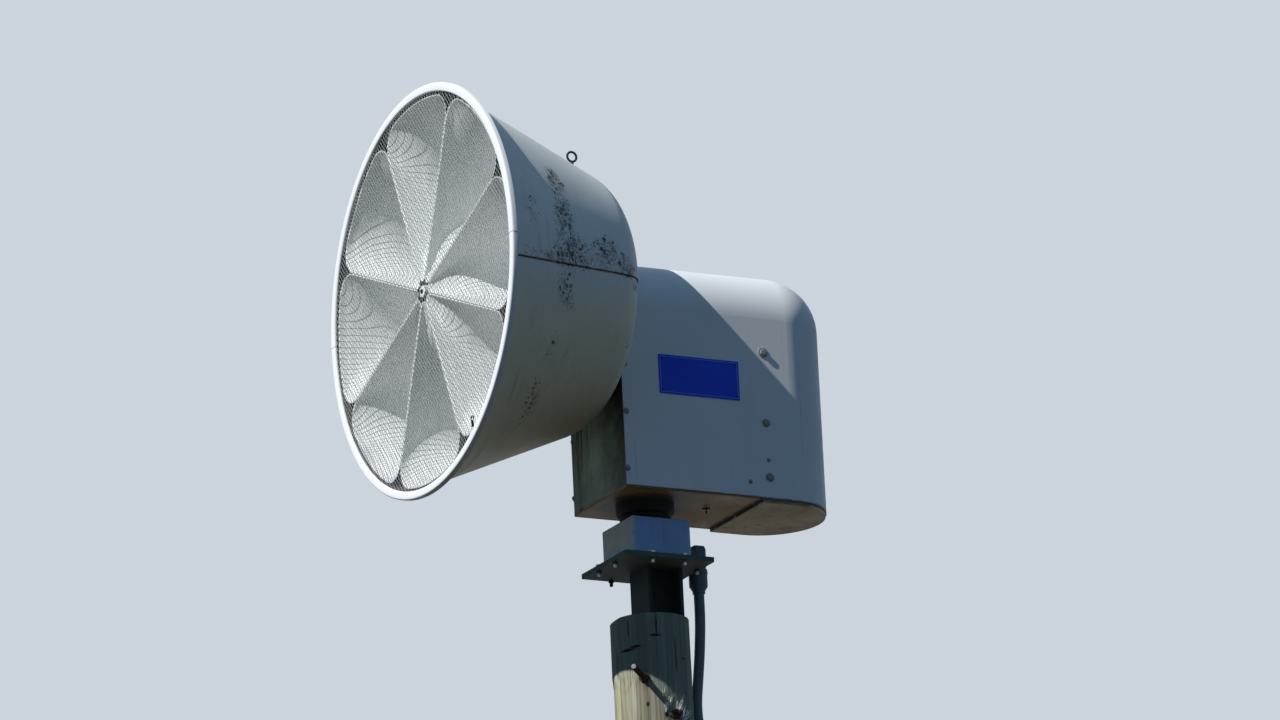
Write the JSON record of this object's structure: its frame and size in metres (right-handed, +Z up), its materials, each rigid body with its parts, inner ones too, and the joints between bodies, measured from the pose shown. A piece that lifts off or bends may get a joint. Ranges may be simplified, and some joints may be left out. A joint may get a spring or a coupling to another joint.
{
  "type": "warning siren on a wooden pole",
  "caption": "Pole-mounted warning siren: a round horn of petal-shaped cells behind a screen, on a motor housing that turns about the pole.",
  "frame": {"origin": "middle of the pole's foot, at ground level", "axes": "+Z up the pole, -Y the way the horn faces at rest, +X to the side with the name plate"},
  "size_m": [1.07, 1.1239, 8.8049],
  "materials": {
    "weathered_wood": "weathered, checked along the grain",
    "dark_steel": "dark green-grey paint, dull",
    "galvanised_steel": "dull zinc, hot dipped",
    "base_paint": "blue-grey, satin",
    "black_iron": "black, greasy",
    "pan_paint": "tan, stained",
    "panel_paint": "pale, greened with algae",
    "cover_paint": "off-white, chalky",
    "nameplate_blue": "blue, bare, thin pale border",
    "shell_paint": "off-white, weathered, lichen spots",
    "rim_white": "white, clean",
    "cell_white": "white moulded shell",
    "screen_wire": "expanded steel, grey",
    "conduit_dark": "dark grey jacket"
  },
  "bodies": {
    "mast": {"pole": "weathered_wood", "post": "dark_steel", "upper_through_bolt": "galvanised_steel", "lower_through_bolt": "galvanised_steel", "mounting_plate": "dark_steel", "base_box": "base_paint", "turntable_base": "black_iron", "spindle": "black_iron", "conduit_elbow": "conduit_dark", "conduit_connector": "conduit_dark", "flexible_conduit": "conduit_dark", "conduit_coupling": "conduit_dark", "rigid_conduit": "galvanised_steel", "conduit_straps": "galvanised_steel"},
    "head": {"turntable_ring": "black_iron", "floor_pan": "pan_paint", "rear_floor": "pan_paint", "motor_cover": "cover_paint", "front_panel": "panel_paint", "throat_ring": "panel_paint", "nameplate": "nameplate_blue", "horn_shell_upper": "shell_paint", "horn_shell_lower": "shell_paint", "rim_upper": "rim_white", "rim_lower": "rim_white", "screen": "screen_wire", "port_plate": "dark_steel", "hub": "galvanised_steel", "lifting_eye": "black_iron", "horn_cell_1": "cell_white", "horn_cell_2": "cell_white", "horn_cell_3": "cell_white", "horn_cell_4": "cell_white", "horn_cell_5": "cell_white", "horn_cell_6": "cell_white", "horn_cell_7": "cell_white", "horn_cell_8": "cell_white"}
  },
  "joints": [
    {"name": "head_turn", "type": "hinge", "parent": "mast", "child": "head", "pos_m": [0, 0, 7.72], "axis": [0, 0, 1], "continuous": true}
  ]
}
